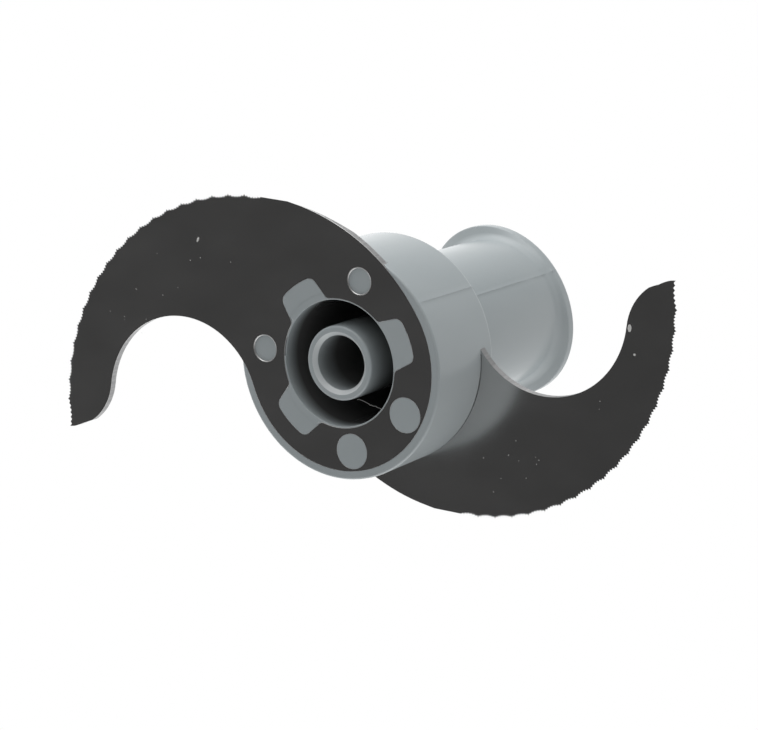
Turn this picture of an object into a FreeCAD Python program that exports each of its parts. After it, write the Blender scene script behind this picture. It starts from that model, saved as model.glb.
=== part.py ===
import FreeCAD, Part
import math
import os

# Cutting blade of a food processor: a moulded plastic hub with two steel sickle blades set into it.
# Millimetres. Z is the drive axis and points up, and the origin is the middle of the flat base.
# The lower blade lies flush with the base with its tip towards +X, and the upper blade is the same
# pressing turned half a turn about Z.

# Small rounds are cut in this many straight steps
ROUND_STEPS = 2

# Hub skirt, the wide lower barrel
BASE_RADIUS = 30.2
SKIRT_DRAFT = 0.7
SKIRT_HEIGHT = 26.3
BASE_EDGE_ROUND = 0.7
SKIRT_TOP_ROUND = 0.5

# Hub waist, the narrow upper barrel
WAIST_RADIUS = 20.6
WAIST_DRAFT = 0.5
WAIST_ROOT_ROUND = 1.6

# Oval finger lip at the top of the waist
HUB_HEIGHT = 80.0
LIP_LONG_RADIUS = 23.8
LIP_SHORT_RADIUS = 20.7
LIP_LONG_ANGLE = 59.0
LIP_THICKNESS = 3.0
LIP_ROUND = 1.1
FLARE_HEIGHT = 11.0
FLARE_STEPS = 4

# Ring-shaped well for the bowl's chimney
WELL_RADIUS = 16.75
WELL_DRAFT = 0.5
ROOF_THICKNESS = 5.0

# Central boss and its bore for the drive shaft
BOSS_RADIUS = 9.7
BOSS_DRAFT = 0.4
BOSS_ROUND = 0.7
BORE_RADIUS = 7.1
BORE_CHAMFER = 1.2
BORE_LENGTH = 52.0
DRIVE_RADIUS = 6.8
DRIVE_FLATS = 11.0
DRIVE_LENGTH = 16.0

# Gate mark left by the moulding on the closed top
GATE_RADIUS = 2.6
GATE_DEPTH = 0.6

# Blades
BLADE_THICKNESS = 2.0
UPPER_BLADE_Z = 20.7
RIM_COVER = 2.2
HALF_TURN = 180.0

# Blade outline: tangent arcs, seen from above
INNER_ARC_DISTANCE = 51.55
INNER_ARC_ANGLE = -12.3
TIP_ARC_RADIUS = 14.8
TIP_ARC_ANGLE = 13.4
EDGE_CENTRE_X = 28.4
EDGE_CENTRE_Y = -16.0
EDGE_RADIUS = 59.6
HEEL_ANGLE = 99.0
SHOULDER_ANGLE = 155.5

# Ground and serrated cutting edge
BEVEL_WIDTH = 5.5
FLUTE_COUNT = 20
FLUTE_DEPTH = 0.47
TEETH_PER_FLUTE = 6
TOOTH_DEPTH = 0.24
FLUTE_OVERLAP = 0.15
GRIND_ALLOWANCE = 0.6

# Anchors: seven places round the ring, four holes and three notches
ANCHOR_COUNT = 7
ANCHOR_START_ANGLE = 10.0
ANCHOR_PITCH_RADIUS = 22.8
SMALL_HOLE_RADIUS = 4.0
LARGE_HOLE_RADIUS = 4.55
SMALL_HOLE_PLACES = (0, 2)
LARGE_HOLE_PLACES = (4, 5)
NOTCH_PLACES = (1, 3, 6)
NOTCH_REACH = 22.9
NOTCH_ROOT_WIDTH = 12.8
NOTCH_END_WIDTH = 11.4
NOTCH_CORNER_ROUND = 2.2
NOTCH_ROOT_ROUND = 1.6
POST_SINK = 0.45

UP = FreeCAD.Vector(0, 0, 1)
ORIGIN = FreeCAD.Vector(0, 0, 0)

ring_radius = BASE_RADIUS - RIM_COVER
bevel_angle = math.atan2(BLADE_THICKNESS, BEVEL_WIDTH)
waist_top_radius = WAIST_RADIUS - WAIST_DRAFT
lip_underside = HUB_HEIGHT - LIP_THICKNESS
flare_start = lip_underside - FLARE_HEIGHT
well_depth = HUB_HEIGHT - ROOF_THICKNESS


def polar(radius, degrees, z=0.0):
    """Point at a radius and an angle about Z."""
    turn = math.radians(degrees)
    return FreeCAD.Vector(radius * math.cos(turn), radius * math.sin(turn), z)


def direction(from_point, to_point):
    """Angle in degrees of the line from one point to another."""
    step = to_point - from_point
    return math.degrees(math.atan2(step.y, step.x))


def arc(centre, radius, start, end):
    """Edge on a circle from one angle to another, turning the short way given by their order."""
    middle = (start + end) / 2
    points = [centre + polar(radius, angle) for angle in (start, middle, end)]
    return Part.Arc(*points).toShape()


def circle_crossing(centre_a, radius_a, centre_b, radius_b, side):
    """Crossing of two circles; side is +1 for the one left of the line from a to b, -1 for the right."""
    gap = centre_b - centre_a
    along = (gap.Length ** 2 + radius_a ** 2 - radius_b ** 2) / (2 * gap.Length)
    across = math.sqrt(radius_a ** 2 - along ** 2)
    unit = FreeCAD.Vector(gap.x / gap.Length, gap.y / gap.Length, 0)
    left = FreeCAD.Vector(-unit.y, unit.x, 0)
    return centre_a + unit * along + left * (side * across)


# Centres of the outline's arcs, each tangent to the one before it
inner_centre = polar(INNER_ARC_DISTANCE, INNER_ARC_ANGLE)
inner_radius = INNER_ARC_DISTANCE - ring_radius
tip_centre = inner_centre + polar(inner_radius + TIP_ARC_RADIUS, TIP_ARC_ANGLE)
edge_centre = FreeCAD.Vector(EDGE_CENTRE_X, EDGE_CENTRE_Y, 0)
blank_radius = EDGE_RADIUS + GRIND_ALLOWANCE


def shoulder_circle(heel):
    """Circle through the heel that touches the ring from outside at SHOULDER_ANGLE."""
    out = polar(1.0, SHOULDER_ANGLE)
    reach = heel.dot(out)
    radius = (heel.Length ** 2 + ring_radius ** 2 - 2 * ring_radius * reach) / (2 * (ring_radius - reach))
    return out * (ring_radius - radius), radius


def blank_outline():
    """Closed outline of the blade blank, with the grinding allowance still on its cutting edge."""
    heel = edge_centre + polar(EDGE_RADIUS, HEEL_ANGLE)
    shoulder_centre, shoulder_radius = shoulder_circle(heel)
    heel_blank = edge_centre + polar(blank_radius, HEEL_ANGLE)
    corner = circle_crossing(edge_centre, blank_radius, tip_centre, TIP_ARC_RADIUS, -1)
    edges = [
        arc(ORIGIN, ring_radius, SHOULDER_ANGLE, 360 + INNER_ARC_ANGLE),
        arc(inner_centre, inner_radius, 180 + INNER_ARC_ANGLE, TIP_ARC_ANGLE),
        arc(tip_centre, TIP_ARC_RADIUS, 180 + TIP_ARC_ANGLE, 360 + direction(tip_centre, corner)),
        arc(edge_centre, blank_radius, direction(edge_centre, corner), HEEL_ANGLE),
        Part.makeLine(heel_blank, heel),
        arc(shoulder_centre, shoulder_radius, direction(shoulder_centre, heel), SHOULDER_ANGLE),
    ]
    return Part.Wire(Part.__sortEdges__(edges))


def notch_cutter():
    """Prism of one anchor notch, pointing along +X from inside the ring hole."""
    half_root = NOTCH_ROOT_WIDTH / 2
    half_end = NOTCH_END_WIDTH / 2
    inner = WELL_RADIUS - NOTCH_ROOT_WIDTH / 2
    slope = math.atan2(half_root - half_end, NOTCH_REACH - WELL_RADIUS)
    spread = math.tan(slope) * (WELL_RADIUS - inner)
    end_x = math.sqrt(NOTCH_REACH ** 2 - half_end ** 2)
    corners = [
        FreeCAD.Vector(inner, -half_root - spread, 0),
        FreeCAD.Vector(end_x, -half_end, 0),
        FreeCAD.Vector(end_x, half_end, 0),
        FreeCAD.Vector(inner, half_root + spread, 0),
    ]
    edges = [
        Part.makeLine(corners[3], corners[0]),
        Part.makeLine(corners[0], corners[1]),
        Part.Arc(corners[1], FreeCAD.Vector(NOTCH_REACH, 0, 0), corners[2]).toShape(),
        Part.makeLine(corners[2], corners[3]),
    ]
    return Part.Face(Part.Wire(edges)).extrude(UP * BLADE_THICKNESS)


def anchor_angle(place):
    """Angle of one of the anchor places round the ring."""
    return ANCHOR_START_ANGLE + place * 360.0 / ANCHOR_COUNT


def upright_edges(shape, inner, outer):
    """Upright straight edges of a plate whose distance from Z lies between two radii."""
    found = []
    for edge in shape.Edges:
        low, high = edge.Vertexes[0].Point, edge.Vertexes[-1].Point
        level = math.hypot(low.x - high.x, low.y - high.y) < 1e-6
        if level and inner < math.hypot(low.x, low.y) < outer:
            found.append(edge)
    return found


def anchor_ring(plate):
    """Cuts the ring hole, the anchor notches and the anchor holes into a blade blank."""
    plate = plate.cut(Part.makeCylinder(WELL_RADIUS, BLADE_THICKNESS))
    notch = notch_cutter()
    for place in NOTCH_PLACES:
        tool = notch.copy()
        tool.rotate(ORIGIN, UP, anchor_angle(place))
        plate = plate.cut(tool)
    plate = plate.makeFillet(NOTCH_CORNER_ROUND, upright_edges(plate, WELL_RADIUS + 0.5, ring_radius))
    plate = plate.makeFillet(NOTCH_ROOT_ROUND, upright_edges(plate, WELL_RADIUS - 0.5, WELL_RADIUS + 0.5))
    for places, radius in ((SMALL_HOLE_PLACES, SMALL_HOLE_RADIUS), (LARGE_HOLE_PLACES, LARGE_HOLE_RADIUS)):
        for place in places:
            centre = polar(ANCHOR_PITCH_RADIUS, anchor_angle(place))
            plate = plate.cut(Part.makeCylinder(radius, BLADE_THICKNESS, centre))
    return plate


def grind_tool(angle, profile):
    """Bar that grinds the bevel at an angle on the edge; the profile is (along the edge, above the bevel)."""
    out = polar(1.0, angle)
    along = polar(1.0, angle + 90)
    slope = out * math.cos(bevel_angle) - UP * math.sin(bevel_angle)
    normal = out * math.sin(bevel_angle) + UP * math.cos(bevel_angle)
    inside = BEVEL_WIDTH / math.cos(bevel_angle) * 1.5
    outside = GRIND_ALLOWANCE * 6
    start = edge_centre + out * EDGE_RADIUS - slope * inside
    points = [start + along * side + normal * height for side, height in profile]
    return Part.Face(Part.makePolygon(points + points[:1])).extrude(slope * (inside + outside))


def flute_profile(pitch):
    """Section of one flute: a hollow of fine teeth, deepest in the middle."""
    to_normal = math.sin(bevel_angle)
    height = BLADE_THICKNESS * 2
    half = pitch / 2
    points = [(-half - FLUTE_OVERLAP, height), (-half - FLUTE_OVERLAP, FLUTE_OVERLAP / 2)]
    steps = 2 * TEETH_PER_FLUTE
    for step in range(steps + 1):
        side = -half + pitch * step / steps
        hollow = FLUTE_DEPTH * (1 - (side / half) ** 2)
        tooth = TOOTH_DEPTH if step % 2 else 0.0
        points.append((side, -(hollow + tooth) * to_normal))
    points += [(half + FLUTE_OVERLAP, FLUTE_OVERLAP / 2), (half + FLUTE_OVERLAP, height)]
    return points


def grinding_tools():
    """Every bar that shapes the cutting edge, from the run-out past the heel to the tip."""
    corner = circle_crossing(edge_centre, EDGE_RADIUS, tip_centre, TIP_ARC_RADIUS, -1)
    tip_angle = direction(edge_centre, corner)
    step = (HEEL_ANGLE - tip_angle) / FLUTE_COUNT
    pitch = math.radians(step) * EDGE_RADIUS
    profile = flute_profile(pitch)
    tools = [grind_tool(HEEL_ANGLE - (index + 0.5) * step, profile) for index in range(FLUTE_COUNT + 1)]
    height = BLADE_THICKNESS * 2
    runout = EDGE_RADIUS / 2
    flat = [(-FLUTE_OVERLAP, 0.0), (runout, 0.0), (runout, height), (-FLUTE_OVERLAP, height)]
    tools.append(grind_tool(HEEL_ANGLE, flat))
    return tools


def placed_upper(shape):
    """Copy of a shape lifted to the upper blade's level and turned half a turn."""
    upper = shape.copy()
    upper.rotate(ORIGIN, UP, HALF_TURN)
    upper.translate(UP * UPPER_BLADE_Z)
    return upper


def rounded_corner(before, corner, after, radius):
    """Points that round a corner of a half section, in even straight steps tangent to both sides."""
    to_before = (FreeCAD.Vector(*before, 0) - FreeCAD.Vector(*corner, 0)).normalize()
    to_after = (FreeCAD.Vector(*after, 0) - FreeCAD.Vector(*corner, 0)).normalize()
    half = to_before.getAngle(to_after) / 2
    middle = FreeCAD.Vector(to_before + to_after).normalize()
    centre = FreeCAD.Vector(*corner, 0) + middle * (radius / math.sin(half))
    first = FreeCAD.Vector(*corner, 0) + to_before * (radius / math.tan(half)) - centre
    last = FreeCAD.Vector(*corner, 0) + to_after * (radius / math.tan(half)) - centre
    sweep = first.getAngle(last)
    points = []
    for step in range(ROUND_STEPS + 1):
        turn = sweep * step / ROUND_STEPS
        spoke = first * (math.sin(sweep - turn) / math.sin(sweep)) + last * (math.sin(turn) / math.sin(sweep))
        points.append((centre.x + spoke.x, centre.y + spoke.y))
    return points


def section_edge(start, end):
    """Side of a half section; a sloping one is a spline, so that its turned face is one plain patch."""
    edge = Part.makeLine(start, end)
    if abs(start.x - end.x) < 1e-6 or abs(start.z - end.z) < 1e-6:
        return edge
    return edge.Curve.toBSpline(edge.FirstParameter, edge.LastParameter).toShape()


def turned(points):
    """Solid of revolution about Z of a closed half section given as (radius, height)."""
    vectors = [FreeCAD.Vector(r, 0, z) for r, z in points]
    edges = [section_edge(start, end) for start, end in zip(vectors, vectors[1:] + vectors[:1])]
    return Part.Face(Part.Wire(edges)).revolve(ORIGIN, UP, 360)


def lip_oval(widening, inset, height):
    """Oval ring about Z, from the round waist at a widening of 0 to the full lip at 1, less an inset."""
    long_radius = waist_top_radius + (LIP_LONG_RADIUS - waist_top_radius) * widening - inset
    short_radius = waist_top_radius + (LIP_SHORT_RADIUS - waist_top_radius) * widening - inset
    if widening == 0:
        ring = Part.Wire(Part.makeCircle(waist_top_radius))
    else:
        ring = Part.Wire(Part.Ellipse(ORIGIN, long_radius, short_radius).toShape())
    ring.rotate(ORIGIN, UP, LIP_LONG_ANGLE)
    ring.translate(UP * height)
    return ring


def finger_lip():
    """Oval lip on a hollow flare that fades to nothing on its narrow sides."""
    reach = LIP_LONG_RADIUS - waist_top_radius
    flare_radius = (FLARE_HEIGHT ** 2 + reach ** 2) / (2 * reach)
    rings = []
    for step in range(FLARE_STEPS + 1):
        rise = FLARE_HEIGHT * step / FLARE_STEPS
        widening = (flare_radius - math.sqrt(flare_radius ** 2 - rise ** 2)) / reach
        rings.append(lip_oval(widening, 0, flare_start + rise))
    for step in range(ROUND_STEPS + 1):
        turn = math.pi / 2 * step / ROUND_STEPS
        inset = LIP_ROUND * (1 - math.cos(turn))
        rings.append(lip_oval(1, inset, HUB_HEIGHT - LIP_ROUND * (1 - math.sin(turn))))
    return Part.makeLoft(rings, True, True)


def hub_body():
    """Skirt, waist and finger lip as one closed barrel; the skirt's wall is in bands that meet the blades' faces."""
    base = (BASE_RADIUS, 0)
    shoulder = (BASE_RADIUS - SKIRT_DRAFT, SKIRT_HEIGHT)
    root = (WAIST_RADIUS, SKIRT_HEIGHT)
    waist_top = (waist_top_radius, flare_start)
    section = [(0, 0)]
    section += rounded_corner((0, 0), base, shoulder, BASE_EDGE_ROUND)
    for height in (BLADE_THICKNESS, UPPER_BLADE_Z, UPPER_BLADE_Z + BLADE_THICKNESS):
        section.append((BASE_RADIUS - SKIRT_DRAFT * height / SKIRT_HEIGHT, height))
    section += rounded_corner(base, shoulder, root, SKIRT_TOP_ROUND)
    section += rounded_corner(shoulder, root, waist_top, WAIST_ROOT_ROUND)
    section += [waist_top, (0, flare_start)]
    return turned(section).fuse(finger_lip())


def drive_well():
    """Ring-shaped well round the central boss, open at the base."""
    boss_end = (BOSS_RADIUS, 0)
    boss_root = (BOSS_RADIUS + BOSS_DRAFT, well_depth)
    section = rounded_corner((0, 0), boss_end, boss_root, BOSS_ROUND)
    section += [boss_root, (WELL_RADIUS - WELL_DRAFT, well_depth), (WELL_RADIUS, 0)]
    return turned(section)


def shaft_bore():
    """Shaft bore with a lead-in, ending in a slightly narrower drive socket with two flats."""
    bore = Part.makeCylinder(BORE_RADIUS, BORE_LENGTH)
    lead_in = Part.makeCone(BORE_RADIUS + BORE_CHAMFER, BORE_RADIUS, BORE_CHAMFER)
    socket_end = BORE_LENGTH + DRIVE_LENGTH
    socket = Part.makeCylinder(DRIVE_RADIUS, socket_end)
    corner = FreeCAD.Vector(-DRIVE_RADIUS, -DRIVE_FLATS / 2, 0)
    flats = Part.makeBox(2 * DRIVE_RADIUS, DRIVE_FLATS, socket_end, corner)
    return bore.fuse([lead_in, socket.common(flats)])


def post_recesses():
    """Shallow sinks where the plastic shrank below the face in the two small holes."""
    places = [polar(ANCHOR_PITCH_RADIUS, anchor_angle(place)) for place in SMALL_HOLE_PLACES]
    return [Part.makeCylinder(SMALL_HOLE_RADIUS, POST_SINK, centre) for centre in places]


def hub(blank):
    """The moulding: the barrel less its well, bore and gate mark, filled round both blades."""
    gate = Part.makeCylinder(GATE_RADIUS, GATE_DEPTH, FreeCAD.Vector(0, 0, HUB_HEIGHT - GATE_DEPTH))
    tools = [drive_well(), shaft_bore(), gate, blank, placed_upper(blank)]
    return hub_body().cut(tools + post_recesses())


def single_solid(shape):
    """The one solid of a boolean result, with its split faces merged."""
    solids = shape.removeSplitter().Solids
    assert len(solids) == 1, "expected one solid, found %d" % len(solids)
    return solids[0]


os.makedirs("parts", exist_ok=True)
blade_blank = anchor_ring(Part.Face(blank_outline()).extrude(UP * BLADE_THICKNESS))
lower_blade = blade_blank.cut(grinding_tools())
pieces = {
    "hub": single_solid(hub(blade_blank)),
    "lower_blade": single_solid(lower_blade),
    "upper_blade": placed_upper(single_solid(lower_blade)),
}
for name, piece in pieces.items():
    piece.exportStep("parts/%s.step" % name)
    box = piece.BoundBox
    print(name, piece.isValid(), round(piece.Volume), [round(v, 2) for v in (
        box.XMin, box.XMax, box.YMin, box.YMax, box.ZMin, box.ZMax)])
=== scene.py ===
"""Looks of a food processor blade: a moulded hub and the two steel sickle blades set into it.

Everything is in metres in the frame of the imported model: +Z is the drive axis, the flat base lies at Z = 0 and
the tip of the lower blade points towards +X.
"""
import logging
import math
import random
from dataclasses import dataclass
from enum import Enum
from functools import cached_property
from typing import Iterable, Sequence

import bmesh
import bpy
from bmesh.types import BMEdge, BMesh, BMFace, BMVert
from mathutils import Matrix, Vector


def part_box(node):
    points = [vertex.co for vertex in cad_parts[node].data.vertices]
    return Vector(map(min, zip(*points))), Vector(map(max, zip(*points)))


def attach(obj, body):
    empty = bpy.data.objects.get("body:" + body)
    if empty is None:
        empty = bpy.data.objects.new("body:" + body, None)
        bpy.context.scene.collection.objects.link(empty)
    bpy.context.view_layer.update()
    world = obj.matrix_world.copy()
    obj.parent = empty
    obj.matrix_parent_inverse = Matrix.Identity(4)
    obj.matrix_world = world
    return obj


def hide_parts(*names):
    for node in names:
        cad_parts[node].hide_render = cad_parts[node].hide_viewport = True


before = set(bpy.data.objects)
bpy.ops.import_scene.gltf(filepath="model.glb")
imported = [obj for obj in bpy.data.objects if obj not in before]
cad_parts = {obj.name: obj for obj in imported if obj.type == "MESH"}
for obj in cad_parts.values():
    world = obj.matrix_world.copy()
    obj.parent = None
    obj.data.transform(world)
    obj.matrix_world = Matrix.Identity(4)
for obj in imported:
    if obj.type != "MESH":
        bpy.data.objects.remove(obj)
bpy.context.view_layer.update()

MM = 0.001
NUDGE = 0.001 * MM
Y_AXIS = Vector((0, 1, 0))
Z_AXIS = Vector((0, 0, 1))
# Share of a face's normal along Z over which the face counts as level, and under which it counts as upright.
LEVEL_LEAN = 0.999
UPRIGHT_LEAN = 0.02

log = logging.getLogger("blade")


class Slot(Enum):
    """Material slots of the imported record."""

    PLASTIC = "hub_plastic"
    STEEL = "blade_steel"


# Shader building


class ShaderGraph:
    """A material's node tree with short ways to add and join nodes."""

    def __init__(self, name: str) -> None:
        """Starts an empty material.

        Args:
            name: Name of the material.
        """
        self.material = bpy.data.materials.new(name)
        self.material.use_nodes = True
        self.tree = self.material.node_tree
        self.tree.nodes.clear()
        self.shader = self.add("ShaderNodeBsdfPrincipled")
        output = self.add("ShaderNodeOutputMaterial")
        self.tree.links.new(self.shader.outputs["BSDF"], output.inputs["Surface"])
        self.place = self.add("ShaderNodeTexCoord").outputs["Object"]

    def add(self, kind: str, **settings: object) -> bpy.types.Node:
        """Adds a node.

        Args:
            kind: Blender's name of the node's type.
            **settings: Properties to set on the node.

        Returns:
            The new node.
        """
        node = self.tree.nodes.new(kind)
        for key, value in settings.items():
            setattr(node, key, value)
        return node

    def feed(self, node: bpy.types.Node, **inputs: object) -> bpy.types.Node:
        """Sets or links a node's inputs.

        Args:
            node: The node.
            **inputs: Input names, with spaces written as underscores, and a value or a socket for each.

        Returns:
            The same node.
        """
        for key, value in inputs.items():
            socket = node.inputs[key.replace("_", " ")]
            if isinstance(value, bpy.types.NodeSocket):
                self.tree.links.new(value, socket)
            else:
                socket.default_value = value
        return node

    def stretched(self, scale: Sequence[float], turn: float = 0.0) -> bpy.types.NodeSocket:
        """Object coordinates turned about Z and stretched.

        Args:
            scale: Scale along each axis.
            turn: Turn about Z in radians.

        Returns:
            The coordinates.
        """
        mapping = self.add("ShaderNodeMapping")
        self.feed(mapping, Vector=self.place, Scale=tuple(scale), Rotation=(0, 0, turn))
        return mapping.outputs["Vector"]

    def noise(self, place: bpy.types.NodeSocket, scale: float, detail: float = 2.0) -> bpy.types.NodeSocket:
        """Noise between about 0.3 and 0.7.

        Args:
            place: Coordinates to read.
            scale: Waves in a metre.
            detail: Number of finer layers.

        Returns:
            The noise value.
        """
        texture = self.add("ShaderNodeTexNoise")
        self.feed(texture, Vector=place, Scale=scale, Detail=detail)
        return texture.outputs["Fac"]

    def spread(self, value: bpy.types.NodeSocket, low: float, high: float,
               start: float = 0.3, end: float = 0.7) -> bpy.types.NodeSocket:
        """Maps a value from one range to another.

        Args:
            value: Value to map.
            low: Result at the start of the range.
            high: Result at its end.
            start: Start of the range.
            end: End of the range.

        Returns:
            The mapped value.
        """
        node = self.add("ShaderNodeMapRange")
        self.feed(node, Value=value, From_Min=start, From_Max=end, To_Min=low, To_Max=high)
        return node.outputs["Result"]

    def math(self, operation: str, *values: object) -> bpy.types.NodeSocket:
        """One step of arithmetic.

        Args:
            operation: Blender's name of the operation.
            *values: Numbers or sockets.

        Returns:
            The result.
        """
        node = self.add("ShaderNodeMath", operation=operation)
        for socket, value in zip(node.inputs, values):
            if isinstance(value, bpy.types.NodeSocket):
                self.tree.links.new(value, socket)
            else:
                socket.default_value = value
        return node.outputs[0]

    def blend(self, share: bpy.types.NodeSocket, first: object, second: object) -> bpy.types.NodeSocket:
        """Mixes two colours, each a row of three numbers or a socket.

        Args:
            share: Share of the second colour.
            first: Colour at a share of 0.
            second: Colour at a share of 1.

        Returns:
            The mixed colour.
        """
        node = self.add("ShaderNodeMix", data_type="RGBA")
        self.tree.links.new(share, node.inputs[0])
        for socket, colour in ((node.inputs[6], first), (node.inputs[7], second)):
            if isinstance(colour, bpy.types.NodeSocket):
                self.tree.links.new(colour, socket)
            else:
                socket.default_value = (*colour, 1)
        return node.outputs[2]

    def bump(self, height: bpy.types.NodeSocket, depth: float) -> bpy.types.NodeSocket:
        """Turns a height into a bumped normal.

        Args:
            height: Height between 0 and 1.
            depth: Depth in metres for a height of 1.

        Returns:
            The normal.
        """
        node = self.add("ShaderNodeBump")
        self.feed(node, Height=height, Distance=depth, Strength=1.0)
        return node.outputs["Normal"]


@dataclass(frozen=True)
class MouldedPlastic:
    """Satin grey moulding with a fine spark texture, faint flow marks, light scuffs and painted shade deep in
    the well and the bore.

    Attributes:
        name: Name of the material.
        colour: Colour of the moulding.
        worn: Paler colour along the flow marks.
        roughness: Least and greatest roughness.
        ior: Refractive index.
        grain_scale: Grains of the spark texture in a metre.
        grain_depth: Depth of that texture.
        flow_scale: Flow marks in a metre.
        scuff_scale: Scuffs in a metre.
        well_radius: Radius inside which shade is painted into the plastic, darker with depth.
        painted_well_shade: Colour of the painted shade deep inside the well and the bore.
        shade_start: Depth at which the painted shade starts.
        shade_end: Height over which no shade is painted.
        boss_reach: Radius between the well's wall and the boss.
        bore_reach: Radius between the boss's side and its bore.
        wall_shade_depth: Depth over which the painted shade on the well's wall deepens.
        boss_shade_depth: Depth over which the painted shade on the boss's side deepens.
        bore_share: How much of the extra depth of the boss the bore loses.
    """

    name: str = "moulded_plastic"
    colour: tuple[float, float, float] = (0.390, 0.432, 0.446)
    worn: tuple[float, float, float] = (0.425, 0.465, 0.478)
    roughness: tuple[float, float] = (0.24, 0.27)
    ior: float = 1.5
    grain_scale: float = 2600.0
    grain_depth: float = 0.004 * MM
    flow_scale: float = 55.0
    scuff_scale: float = 420.0
    well_radius: float = 17.0 * MM
    painted_well_shade: tuple[float, float, float] = (0.11, 0.11, 0.11)
    shade_start: float = 0.8 * MM
    shade_end: float = 76.0 * MM
    boss_reach: float = 13.0 * MM
    bore_reach: float = 8.5 * MM
    wall_shade_depth: float = 4.8 * MM
    boss_shade_depth: float = 15.0 * MM
    bore_share: float = 0.6

    def painted_depth_shade(self, graph: ShaderGraph) -> bpy.types.NodeSocket:
        """Paints shade into the plastic's colour, darker with depth inside the well and the bore.

        Args:
            graph: Graph of the material.

        Returns:
            Share of the painted shade: 0 outside the well and up to 1 inside.
        """
        split = graph.feed(graph.add("ShaderNodeSeparateXYZ"), Vector=graph.place)
        height = split.outputs["Z"]
        squares = [graph.math("MULTIPLY", split.outputs[axis], split.outputs[axis]) for axis in "XY"]
        reach = graph.math("POWER", graph.math("ADD", *squares), 0.5)
        inside = graph.math("LESS_THAN", reach, self.well_radius)
        below_top = graph.math("LESS_THAN", height, self.shade_end)
        on_boss = graph.math("LESS_THAN", reach, self.boss_reach)
        in_bore = graph.math("LESS_THAN", reach, self.bore_reach)
        boss_share = graph.math("SUBTRACT", on_boss, graph.math("MULTIPLY", in_bore, self.bore_share))
        longer = graph.math("MULTIPLY", boss_share, self.boss_shade_depth - self.wall_shade_depth)
        fade = graph.math("ADD", longer, self.wall_shade_depth)
        sunk = graph.math("SUBTRACT", height, self.shade_start)
        depth = graph.math("MINIMUM", graph.math("DIVIDE", sunk, fade), 1)
        depth = graph.math("MAXIMUM", depth, 0)
        return graph.math("MULTIPLY", depth, graph.math("MULTIPLY", inside, below_top))

    def material(self) -> bpy.types.Material:
        """Builds the finish as a material."""
        graph = ShaderGraph(self.name)
        flow = graph.noise(graph.stretched((1, 1, 0.35)), self.flow_scale, 3)
        tone = graph.blend(graph.spread(flow, 0, 1), self.colour, self.worn)
        painted_shade_of_well = self.painted_depth_shade(graph)
        scuff = graph.noise(graph.stretched((1, 1, 0.3)), self.scuff_scale, 4)
        grain = graph.noise(graph.place, self.grain_scale, 2)
        graph.feed(
            graph.shader,
            # Painted shade: the colour darkens with depth inside the well and the bore.
            Base_Color=graph.blend(painted_shade_of_well, tone, self.painted_well_shade),
            Roughness=graph.spread(scuff, *self.roughness),
            IOR=self.ior,
            Normal=graph.bump(grain, self.grain_depth),
        )
        return graph.material


# Paler plastic for the skirt's upper edge and the bore's lead-in: a painted highlight.
PAINTED_HIGHLIGHT_EDGE = MouldedPlastic(name="painted_highlight_plastic_edge", colour=(0.56, 0.60, 0.61), worn=(0.66, 0.69, 0.70))


@dataclass(frozen=True)
class RolledSteel:
    """Cold-rolled stainless sheet: a dark mirror with a fine grain one way and faint smears."""

    colour: tuple[float, float, float] = (0.615, 0.61, 0.605)
    smeared: tuple[float, float, float] = (0.64, 0.635, 0.63)
    roughness: tuple[float, float] = (0.18, 0.215)
    grain_scale: float = 90.0
    grain_stretch: float = 24.0
    grain_depth: float = 0.0012 * MM
    smear_scale: float = 40.0
    grain_turn: float = math.radians(20)

    def material(self) -> bpy.types.Material:
        """Builds the finish as a material."""
        graph = ShaderGraph("rolled_steel")
        grain = graph.noise(graph.stretched((1, self.grain_stretch, 1), self.grain_turn), self.grain_scale, 5)
        smear = graph.noise(graph.stretched((1, 2, 1), self.grain_turn), self.smear_scale, 3)
        graph.feed(
            graph.shader,
            Metallic=1.0,
            Base_Color=graph.blend(graph.spread(smear, 0, 1), self.colour, self.smeared),
            Roughness=graph.spread(smear, *self.roughness),
            Normal=graph.bump(grain, self.grain_depth),
        )
        return graph.material


@dataclass(frozen=True)
class LinedSteel:
    """Cut steel with fine lines across it.

    Attributes:
        name: Name of the material.
        colour: Colour on the lines.
        dull: Colour between them.
        roughness: Least and greatest roughness.
        line_scale: Lines in a metre.
        line_stretch: Scale along Z, under 1 where the lines stand upright.
        line_depth: Depth of a line.
    """

    name: str
    colour: tuple[float, float, float]
    dull: tuple[float, float, float]
    roughness: tuple[float, float]
    line_scale: float
    line_stretch: float
    line_depth: float

    def material(self) -> bpy.types.Material:
        """Builds the finish as a material."""
        graph = ShaderGraph(self.name)
        lines = graph.noise(graph.stretched((1, 1, self.line_stretch)), self.line_scale, 3)
        graph.feed(
            graph.shader,
            Metallic=1.0,
            Base_Color=graph.blend(graph.spread(lines, 0, 1), self.dull, self.colour),
            Roughness=graph.spread(lines, *self.roughness),
            Normal=graph.bump(lines, self.line_depth),
        )
        return graph.material


# The ground bevel is bright with grinding lines.
GROUND_STEEL = LinedSteel(
    name="ground_steel", colour=(0.66, 0.66, 0.655), dull=(0.56, 0.56, 0.56), roughness=(0.26, 0.40),
    line_scale=1500.0, line_stretch=0.2, line_depth=0.006 * MM)
# The walls left by the press are dull with upright tear lines.
SHEARED_STEEL = LinedSteel(
    name="sheared_steel", colour=(0.52, 0.52, 0.52), dull=(0.36, 0.36, 0.365), roughness=(0.42, 0.42),
    line_scale=1800.0, line_stretch=0.08, line_depth=0.01 * MM)


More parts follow.
